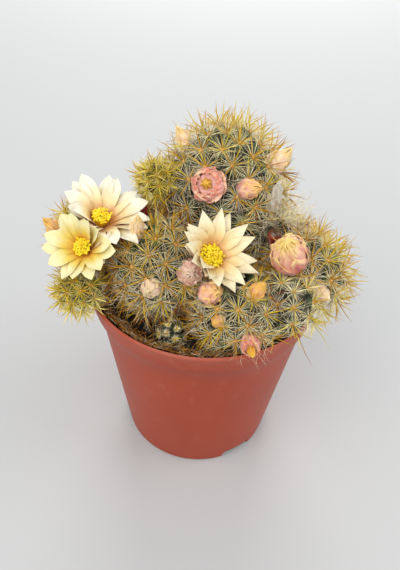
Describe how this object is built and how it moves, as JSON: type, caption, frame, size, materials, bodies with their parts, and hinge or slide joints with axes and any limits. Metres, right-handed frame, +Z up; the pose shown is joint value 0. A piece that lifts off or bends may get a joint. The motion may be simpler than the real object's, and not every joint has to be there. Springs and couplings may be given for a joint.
{
  "type": "potted round cactus",
  "caption": "Clump-forming round cactus with spined nipples, open flowers, buds and fruits, growing in a small tapered plastic pot filled with soil.",
  "frame": {"origin": "centre of the pot's flat underside, on the pot's axis, where it stands on the table", "axes": "+Z up along the pot's axis, -Y toward the side with the open centre flower and the low front stem, +X to the viewer's right"},
  "size_m": [0.0739, 0.0594, 0.0853],
  "materials": {
    "pot": "satin terracotta-coloured plastic",
    "soil": "dark peat potting mix with fibres and crumbs",
    "stem": "dull green skin under white and golden spines",
    "petal": "thin satin cream petals",
    "outer_petal": "thin satin petals, pink to dark red outside",
    "stamen": "powdery bright yellow",
    "bud": "satin pink and cream",
    "fruit": "smooth dark red"
  },
  "bodies": {
    "root": {"bud_back": "bud", "bud_far_left": "bud", "bud_far_left_high": "bud", "bud_front_left": "bud", "bud_front_small": "bud", "bud_front_tall": "bud", "bud_left_faded": "bud", "bud_left_low": "bud", "bud_left_tall": "bud", "bud_main_side": "bud", "bud_main_top_left": "bud", "bud_main_top_right": "bud", "bud_right_low": "bud", "flower_centre_inner_petals": "petal", "flower_centre_outer_petals": "outer_petal", "flower_centre_pistil": "stamen", "flower_centre_stamens": "stamen", "flower_faded_heart": "stamen", "flower_faded_petals": "outer_petal", "flower_folded_heart": "stamen", "flower_folded_petals": "outer_petal", "flower_half_open_heart": "stamen", "flower_half_open_petals": "outer_petal", "flower_left_back_inner_petals": "petal", "flower_left_back_outer_petals": "outer_petal", "flower_left_back_pistil": "stamen", "flower_left_back_stamens": "stamen", "flower_left_front_inner_petals": "petal", "flower_left_front_outer_petals": "outer_petal", "flower_left_front_pistil": "stamen", "flower_left_front_stamens": "stamen", "fruit_back": "fruit", "fruit_back_right": "fruit", "fruit_inner_right": "fruit", "fruit_left": "fruit", "pot": "pot", "pup_left": "stem", "pup_main": "stem", "pup_soil": "stem", "soil": "soil", "stem_back_left": "stem", "stem_back_right": "stem", "stem_far_left": "stem", "stem_front": "stem", "stem_front_right": "stem", "stem_left": "stem", "stem_main": "stem", "stem_right": "stem", "stem_woolly": "stem"}
  },
  "joints": []
}
